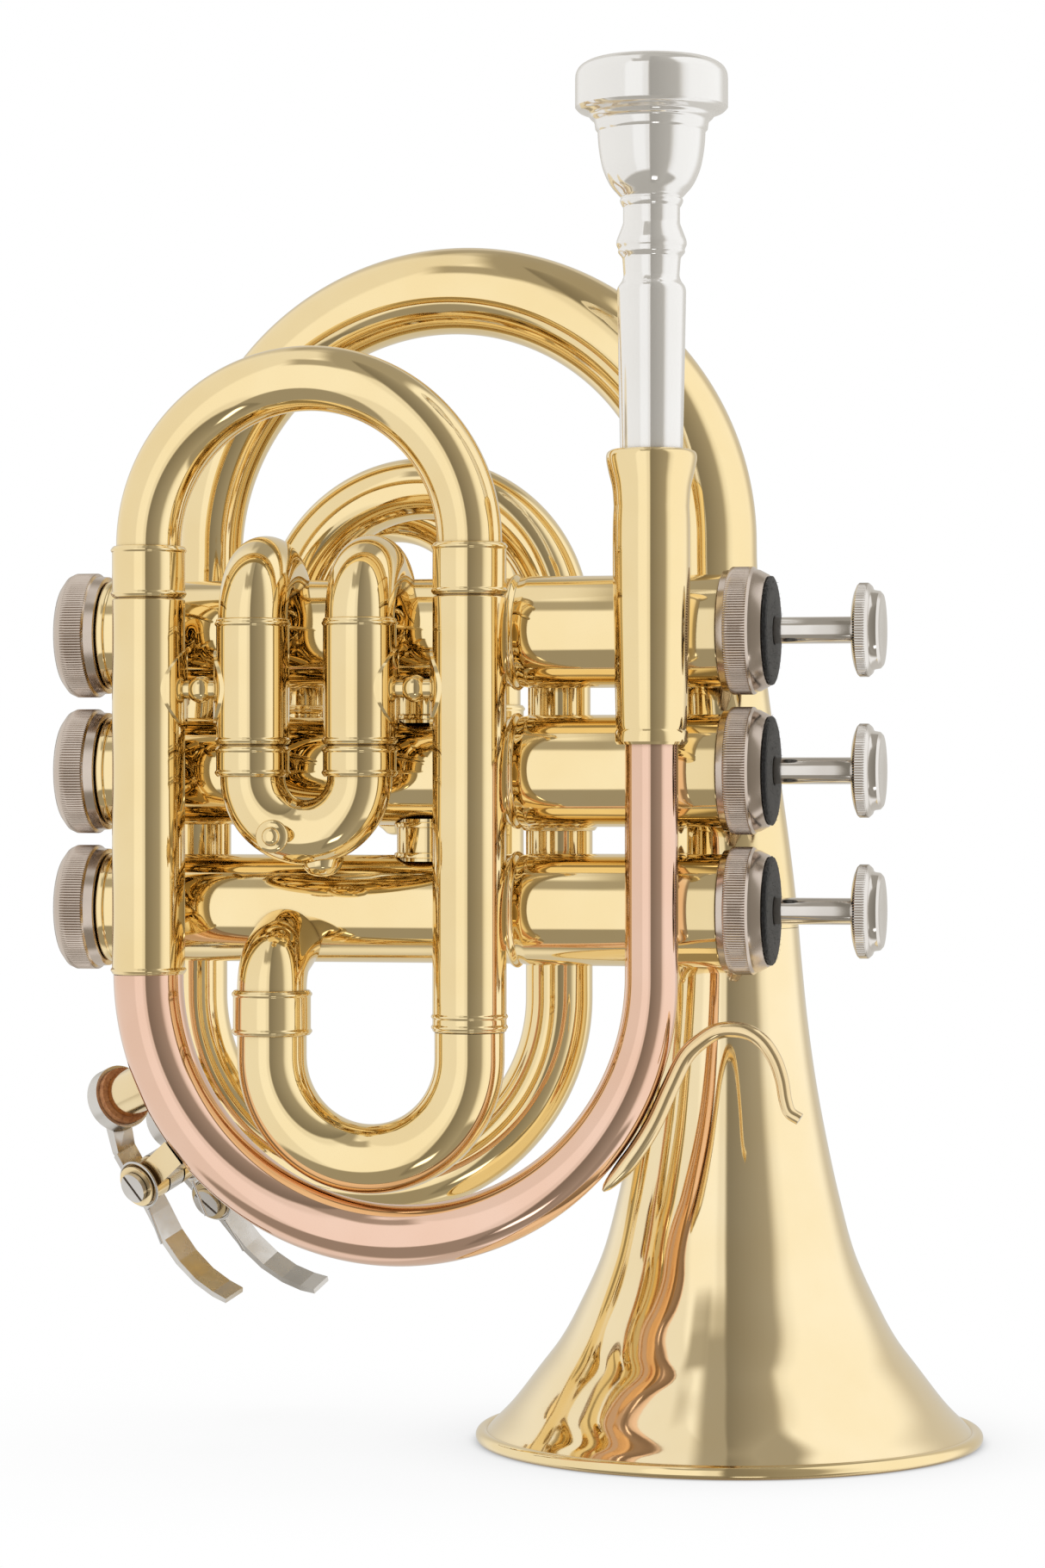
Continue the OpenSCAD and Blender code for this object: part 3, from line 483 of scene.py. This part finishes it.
for i, z in enumerate(VALVE_Z, 1):
    at = (0, VALVE_Y, z)
    stand_in(f"casing_{i}", lathe(casing, at, "x", 144), f"valve_casing_{i}")
    shape = lathe(top_cap, (CAP_X, VALVE_Y, z), "x", 4 * CAP_KNURLS, bump=knurl(CAP_KNURLS, 0.22, *TOP_BAND))
    stand_in(f"top_cap_turned_{i}", shape, f"top_cap_{i}", material=KNURL)
    shape = lathe(bottom_cap, (CASING_END, VALVE_Y, z), "-x", 4 * CAP_KNURLS, closed=False,
                  bump=knurl(CAP_KNURLS, 0.22, *BOTTOM_BAND))
    stand_in(f"bottom_cap_turned_{i}", shape, f"bottom_cap_{i}", material=KNURL)
    shape = lathe(button, (BUTTON_X, VALVE_Y, z), "x", 4 * BUTTON_KNURLS, closed=False,
                  bump=knurl(BUTTON_KNURLS, 0.2, *BUTTON_BAND))
    stand_in(f"button_turned_{i}", shape, f"button_{i}")
    piece(f"stem_polished_{i}", lathe(stem, at, "x", 64), [f"piston_{i}"])

# Felt washers, uneven by noise, with short stray hairs
washer = rounded([(2.6, 6.8), (8.0, 6.8), (8.5, 8.3), (9.6, 8.25), (9.95, 8.6), (9.8, 9.0), (9.0, 9.25),
                  (7.0, 9.35), (5.0, 9.3), (2.6, 9.3)], 0.3, 3)


def fuzz_at(z):
    def bump(a, r, h):
        if r <= 3:
            return 0
        return 0.16 * noise.noise(Vector((math.cos(a) * r * 2, math.sin(a) * r * 2, h * 3 + z)))
    return bump


HAIRS, HAIR_R = 520, 0.035
felts = [lathe(washer, (CAP_X - 0.05, VALVE_Y, z), "x", 220, bump=fuzz_at(z)) for z in VALVE_Z]
random.seed(11)
hairs_v, hairs_f = [], []
for z in VALVE_Z:
    for _ in range(HAIRS):
        a, r, length = random.uniform(0, 2 * math.pi), random.uniform(4.0, 9.9), random.uniform(0.15, 0.55)
        root = Vector((CAP_X + 9.2 - (0.35 if r > 9.3 else 0), VALVE_Y + r * math.cos(a), z + r * math.sin(a)))
        lean = Vector((random.uniform(0.0, 0.7),
                       math.cos(a) * random.uniform(-0.4, 1) + random.uniform(-0.5, 0.5),
                       math.sin(a) * random.uniform(-0.4, 1) + random.uniform(-0.5, 0.5)))
        any_way = Vector((random.random(), random.random(), random.random()))
        side = lean.cross(any_way).normalized() * HAIR_R
        third = lean.cross(side).normalized() * HAIR_R
        tip = root + lean.normalized() * length
        b = len(hairs_v)
        hairs_v += [(root + side) * MM, (root - side) * MM, (root + third) * MM, tip * MM]
        hairs_f += [(b, b + 1, b + 3), (b + 1, b + 2, b + 3), (b + 2, b, b + 3), (b, b + 2, b + 1)]
felts.append((hairs_v, hairs_f))
stand_in("felt_washers", joined(*felts), "cap_felts")

# Short tubes between the casings, with a collar at each end
tubes = []
for z0, z1 in zip(VALVE_Z[1:], VALVE_Z):
    for x, y, r in ((-52, VALVE_Y, 5.9), (-8, VALVE_Y + 3, 4.0)):
        tubes.append(sweep(route(r, line((x, y, z0 + 8.8), (x, y, z1 - 8.8), 4)), 48))
        for z in (z0 + 9.9, z1 - 9.9):
            collar = [(r - 0.3, z - 0.5), (r + 0.5, z - 0.5), (r + 0.5, z + 0.5), (r - 0.3, z + 0.5)]
            tubes.append(lathe(rounded(collar, 0.3), (x, y, 0), "z", 64))
stand_in("knuckle_tubes", joined(*tubes), "knuckles")

# ---------------------------------------------------------------- first valve slide, in front
FIRST_X, FIRST_LOW, FIRST_HIGH, FIRST_BOW, FIRST_ELBOW_R = (-80.5, -60.5), 129.9, 152.5, 124.0, 9.5
sleeves = []
for x in FIRST_X:
    beads = (FIRST_LOW + 0.8, FIRST_HIGH - 0.7)
    sleeves.append(lathe(ring_profile(SLEEVE_R, SLEEVE_BORE, FIRST_LOW, FIRST_HIGH + 0.3, beads), (x, FRONT, 0)))
    bend = arc((x, FRONT + FIRST_ELBOW_R, FIRST_HIGH), FIRST_ELBOW_R, 180, 30, Y, Z, 40)
    sleeves.append(sweep(route(6.3, line((x, FRONT, FIRST_HIGH - 1), (x, FRONT, FIRST_HIGH)), bend), 64))
stand_in("first_sleeves", joined(*sleeves), "first_slide_sleeves")
stand_in("first_slide_bow", u_bend(LEG_R, FIRST_X[::-1], FRONT, FIRST_BOW, (150, 150), 0, -180, 60, 64),
         "first_slide")
collars = [ferrule((x, FRONT, FIRST_BOW + 0.1), SLEEVE_R, LEG_BORE, 5.6) for x in FIRST_X]
stand_in("first_ferrules", joined(*collars), "first_slide_ferrules")
first_c = sum(FIRST_X) / 2
front_knob = rounded([(0, 0), (2.3, 0), (2.3, 2.2), (2.6, 2.5), (3.0, 2.7), (3.0, 3.4), (2.4, 3.8), (1.6, 4.0),
                      (1.5, 4.5), (0.9, 4.9), (0, 5)], 0.2, 3, False)
low_knob = rounded([(0, 0), (4, 0), (3.9, 0.9), (3.5, 2.2), (2.4, 3.3), (1.2, 3.7), (0, 3.8)], 0.3, 3, False)
stand_in("first_knobs", joined(
    lathe(front_knob, (first_c - 4.2, FRONT - 4.9, FIRST_BOW - 10.6), "-y", 64, closed=False),
    lathe(low_knob, (first_c + 2.6, FRONT + 1.4, FIRST_BOW - 14.2), "-z", 64, closed=False)), "first_slide_knobs")

# ---------------------------------------------------------------- second valve slide, behind
SECOND_X, SECOND_R, SECOND_Z, SECOND_BOW_Y = (-73.1, -60.9), 5.5, VALVE_Z[1], 6
second_c, second_big = sum(SECOND_X) / 2, (SECOND_X[1] - SECOND_X[0]) / 2
sleeve = ring_profile(SECOND_R, SECOND_R - 0.5, 8, 28.1, (27.3,))
sleeves = [lathe(sleeve, (x, VALVE_Y, SECOND_Z), "y", 72) for x in SECOND_X]
stand_in("second_sleeves", joined(*sleeves), "second_slide_sleeves")
bow = sweep(route(
    SECOND_R, line((SECOND_X[0], 4.2, SECOND_Z), (SECOND_X[0], SECOND_BOW_Y, SECOND_Z), 2),
    arc((second_c, SECOND_BOW_Y, SECOND_Z), second_big, 180, 0, X, Y, 40),
    line((SECOND_X[1], SECOND_BOW_Y, SECOND_Z), (SECOND_X[1], 4.2, SECOND_Z), 2)), 56)
legs = [sweep(route(SECOND_R - 0.55, line((x, -12, SECOND_Z), (x, 4.3, SECOND_Z), 3)), 48) for x in SECOND_X]
stand_in("second_slide_bow", joined(bow, *legs), "second_slide")
pull = rounded([(0, 0), (2.2, 0), (2.2, 3.3), (2.6, 3.8), (3.4, 4.1), (3.4, 5.1), (2.5, 5.8), (1.7, 6.6),
                (0.8, 6.9), (0, 6.9)], 0.25, 3, False)
stand_in("second_knob", lathe(pull, (second_c, 11.5, SECOND_Z - 5.3), "-z", 64, closed=False),
         "second_slide_knob")

# ---------------------------------------------------------------- third valve slide, behind
THIRD_X, THIRD_Y, THIRD_R, THIRD_BOW = (-85.4, -48.6), 13.0, 5.85, 157.0
THIRD_LOW, THIRD_HIGH, THIRD_ELBOW_R = 108, 134, 9
shapes = []
for x in THIRD_X:
    profile = ring_profile(THIRD_R + 0.6, THIRD_R + 0.05, THIRD_LOW, THIRD_HIGH, (108.9, 133.1))
    shapes.append(lathe(profile, (x, THIRD_Y, 0), "z", 96))
    elbow_y, exit_z = THIRD_Y - THIRD_ELBOW_R, THIRD_LOW - THIRD_ELBOW_R
    shapes.append(sweep(route(
        THIRD_R, line((x, THIRD_Y, 109.2), (x, THIRD_Y, THIRD_LOW), 2),
        arc((x, elbow_y, THIRD_LOW), THIRD_ELBOW_R, 0, -90, Y, Z, 30),
        line((x, elbow_y, exit_z), (x, -14.5, exit_z))), 60))
stand_in("third_sleeves", joined(*shapes), "third_slide_sleeves")
collars = [ferrule((x, THIRD_Y, 134.2), THIRD_R + 0.6, THIRD_R - 0.01, 3.8) for x in THIRD_X]
stand_in("third_slide_bow", joined(
    u_bend(THIRD_R, THIRD_X, THIRD_Y, THIRD_BOW, (112, 112), 180, 0, 60, 64), *collars), "third_slide")

# ---------------------------------------------------------------- bell, bows and tail
SHEET = 0.6
curve = spline([(46.75, 0.75), (44.4, 3.1), (40.4, 7.2), (35.3, 13.8), (31.4, 19), (28.1, 25), (23.6, 35),
                (20.6, 46), (18.2, 57), (16.2, 68), (14.7, 79), (13.6, 90), (13.1, 96)], 8)
inner = [Vector((p.x - SHEET, p.y + (0 if k else 0.2))) for k, p in enumerate(curve)]
stand_in("bell_spun", lathe(tuples([*curve, *reversed(inner)]), (0, 0, 0), segments=256), "bell")
WIRE_R = 1.3
turns = [2 * math.pi * k / 36 for k in range(36)]
# The wire is worn flat on the floor
wire = [(46.1 + WIRE_R * math.cos(a), max(1.18 + WIRE_R * math.sin(a), 0.0)) for a in turns]
stand_in("bell_wire", lathe(wire, (0, 0, 0), segments=256), "bell_rim", sharp=50)

BOW_LEFT, BOW_RIGHT, BELL_BOW_Z, BELL_TOP, TAIL_LEFT, TAIL_RIGHT = -100.6, -4.0, 168.0, 96, -104.0, -32.4
STEM_R, STEM_TAPER, ARC_R, ARC_TAPER, END_R = 13.1, 3.9, 9.2, 3.2, 6
STEM_STEPS, ARC_STEPS, DOWN_STEPS = 24, 110, 20


def eased(t):
    return t * t * (3 - 2 * t)


path = []
for i in range(STEM_STEPS):
    t = i / STEM_STEPS
    path.append(((BOW_RIGHT * eased(t), 0, BELL_TOP + (BELL_BOW_Z - BELL_TOP) * t),
                 STEM_R - STEM_TAPER * (1 - (1 - t) ** 1.7)))
bow = arc(((BOW_LEFT + BOW_RIGHT) / 2, 0, BELL_BOW_Z), (BOW_RIGHT - BOW_LEFT) / 2, 0, 180, X, Z, ARC_STEPS)
path += [(p, ARC_R - ARC_TAPER * (i / ARC_STEPS) ** 1.6) for i, p in enumerate(bow)]
for i in range(1, DOWN_STEPS + 1):
    t = i / DOWN_STEPS
    path.append(((BOW_LEFT + (TAIL_LEFT - BOW_LEFT) * eased(t), 0, BELL_BOW_Z - (BELL_BOW_Z - 112) * t),
                 END_R + 0.3 * t))
stand_in("bell_bow_drawn", sweep(path, 84), "bell_bow")
stand_in("tail_bow", u_bend(6.3, (TAIL_LEFT, TAIL_RIGHT), 0, 82.7, (111.9, 120), 180, 360, 100, 72), "bell_tail")
ARCH_LEFT, ARCH_Z, ARCH_ELBOW_R = -84.4, 152.9, 7
arch_c, arch_big = (ARCH_LEFT + TAIL_RIGHT) / 2, (TAIL_RIGHT - ARCH_LEFT) / 2
stand_in("tail_arch_drawn", sweep(route(
    5.9, line((TAIL_RIGHT, 0, 120.1), (TAIL_RIGHT, 0, ARCH_Z)),
    arc((arch_c, 0, ARCH_Z), arch_big, 0, 180, X, Z, 80),
    arc((ARCH_LEFT, -ARCH_ELBOW_R, ARCH_Z), ARCH_ELBOW_R, 0, -90, Y, Z, 20),
    line((ARCH_LEFT, -ARCH_ELBOW_R, ARCH_Z - ARCH_ELBOW_R), (ARCH_LEFT, -15, ARCH_Z - ARCH_ELBOW_R))), 72),
    "tail_arch")
stand_in("tail_collars", joined(
    ferrule((TAIL_RIGHT, 0, 114), 6.9, 6.31, 11), ferrule((TAIL_LEFT, 0, 106), 7.05, 6.4, 11)), "tail_ferrules")

# ---------------------------------------------------------------- finger hook
ROD_R, POINT_R, POINT_STEPS = 1.7, 0.25, 7
foot_r = bow_r + LEAD_R + LEAD_GROWTH / 4 + 1.75  # the foot lies along the outside of the leadpipe's bow
foot = [math.radians(a) for a in (-45, -37, -29, -21)]
hook = [(bow_c + foot_r * math.cos(a), BOW_Z + foot_r * math.sin(a)) for a in foot]
hook += [(-0.9, 74.4), (2.2, 77.4), (5, 79), (8, 79.3), (10.8, 78.7), (13.2, 77), (15.2, 74), (16.4, 70.5),
         (17, 67), (17.8, 64.8), (19.6, 63.6)]
rod = spline(hook, 8)
widths = [POINT_R + (ROD_R - POINT_R) * (k / POINT_STEPS) ** 0.5 if k < POINT_STEPS else ROD_R - 0.6 * k / len(rod)
          for k in range(len(rod))]
stand_in("finger_hook", sweep([((p.x, FRONT, p.y), r) for p, r in zip(rod, widths)], 32), "pinky_hook")

# ---------------------------------------------------------------- world, floor and camera
world = bpy.data.worlds.new("studio")
bpy.context.scene.world = world
world.use_nodes = True
w = world.node_tree
w.nodes.clear()


def maths(operation, a, b=0.0, c=0.0):
    return math_in(w, operation, a, b, c)


def edge(value, at, soft):
    """0 below a value and 1 above it, with a soft step."""
    return node(w, "ShaderNodeMapRange", set_interpolation_type="SMOOTHSTEP", i0=value, i1=at - soft,
                i2=at + soft, i3=0.0, i4=1.0).outputs[0]


def below(value, at, soft):
    return maths("SUBTRACT", 1.0, edge(value, at, soft))


def between(value, low, high, soft):
    return maths("MULTIPLY", edge(value, low, soft), below(value, high, soft))


def painted(base, level, *masks):
    """Base level, replaced by another where every mask is 1."""
    share = masks[0]
    for mask in masks[1:]:
        share = maths("MULTIPLY", share, mask)
    return node(w, "ShaderNodeMix", set_data_type="FLOAT", i0=share, i2=base, i3=level).outputs[0]


# Directions: azimuth 0 is in front and grows to the right, height is up from the horizon, both in degrees
split = node(w, "ShaderNodeSeparateXYZ", i0=node(w, "ShaderNodeTexCoord").outputs["Generated"])
across, upward = split.outputs[0], split.outputs[2]
front = maths("MULTIPLY", split.outputs[1], -1.0)
azimuth = maths("MULTIPLY", maths("ARCTAN2", across, front), 180 / math.pi)
height = maths("MULTIPLY", maths("ARCSINE", upward), 180 / math.pi)

# Light levels of the room that the metal reflects
SIDE_LIGHT, RIGHT_LIGHT, FRONT_LIGHT, BACK_LIGHT, SPOT_LIGHT = 0.9, 1.06, 1.04, 0.66, 2.6
CEILING_LEFT, CEILING_RIGHT, FLOOR_DARK, PANEL_DARK, PANEL_PALE = 0.45, 0.4, 0.36, 0.25, 0.42
level = painted(SIDE_LIGHT, RIGHT_LIGHT, edge(azimuth, 66, 8))
level = painted(level, FRONT_LIGHT, between(azimuth, -30, -3, 3))
level = painted(level, BACK_LIGHT, edge(maths("ABSOLUTE", azimuth), 140, 12))
level = painted(level, CEILING_LEFT, between(height, 42, 62, 4), between(across, -0.3, -0.1, 0.04))
level = painted(level, CEILING_RIGHT, edge(height, 44, 5), between(across, -0.14, 0.36, 0.05))
level = painted(level, FLOOR_DARK, below(height, -38, 2.5), edge(front, 0.0, 0.12))
fading = node(w, "ShaderNodeMapRange", i0=azimuth, i1=10.0, i2=58.0, i3=PANEL_DARK, i4=PANEL_PALE).outputs[0]
level = painted(level, fading, edge(azimuth, 6, 2.4), below(azimuth, 56, 7), between(height, -70, 84, 4))
level = painted(level, SPOT_LIGHT, between(azimuth, 12, 30, 3), between(height, -56, -49, 3))

# Dark parts are warmer than light ones
capped = maths("MINIMUM", level, 1.0)
green = maths("MULTIPLY", level, maths("MULTIPLY_ADD", capped, 0.1, 0.9))
blue = maths("MULTIPLY", level, maths("MULTIPLY_ADD", capped, 0.27, 0.72))
warm = node(w, "ShaderNodeCombineColor", i0=level, i1=green, i2=blue).outputs[0]
rays = node(w, "ShaderNodeLightPath")
lit = node(w, "ShaderNodeBackground", Color=warm, Strength=1.0)
paper = node(w, "ShaderNodeBackground", Color=(1, 1, 1, 1), Strength=1.0)
shown = node(w, "ShaderNodeMixShader", i0=rays.outputs["Is Camera Ray"], i1=lit.outputs[0], i2=paper.outputs[0])
w.links.new(shown.outputs[0], node(w, "ShaderNodeOutputWorld").inputs[0])

# White floor that shows only the contact shadow
HALF = 3.0  # metres
floor = mesh_object("floor", [(-HALF, -HALF, 0), (HALF, -HALF, 0), (HALF, HALF, 0), (-HALF, HALF, 0)], [(0, 1, 2, 3)])
paint = bpy.data.materials.new("floor_paper")
paint.use_nodes = True
t = paint.node_tree
t.nodes.clear()


def shadow(reach, darkest):
    """1 in the open, falling to darkest where things are within reach, in metres."""
    openness = node(t, "ShaderNodeAmbientOcclusion", Distance=reach, set_samples=16).outputs["AO"]
    return ranged(t, openness, darkest, 1.0, 0.0, 0.98)


shade = math_in(t, "MULTIPLY", shadow(0.03, 0.5), shadow(0.09, 0.8))
grey = node(t, "ShaderNodeCombineColor", i0=shade, i1=shade, i2=shade).outputs[0]
glow = node(t, "ShaderNodeEmission", Color=grey, Strength=1.0)
t.links.new(glow.outputs[0], node(t, "ShaderNodeOutputMaterial").inputs[0])
floor.data.materials.append(paint)
floor.visible_glossy = False
floor.visible_diffuse = False

CAMERA_AZIMUTH, CAMERA_DISTANCE = math.radians(12.0), 0.8  # to the right of the front, and in metres
TARGET = Vector((-0.0378, -0.0080, 0.1228))
camera = bpy.data.objects.new("camera", bpy.data.cameras.new("camera"))
bpy.context.scene.collection.objects.link(camera)
back = Vector((math.sin(CAMERA_AZIMUTH), -math.cos(CAMERA_AZIMUTH), 0.0))
camera.location = TARGET + back * CAMERA_DISTANCE
camera.rotation_euler = (-back).to_track_quat("-Z", "Y").to_euler()
camera.data.lens = 98.1
camera.data.sensor_width = 36.0
camera.data.clip_start = 0.01
bpy.context.scene.camera = camera
bpy.context.scene.view_settings.view_transform = "Standard"
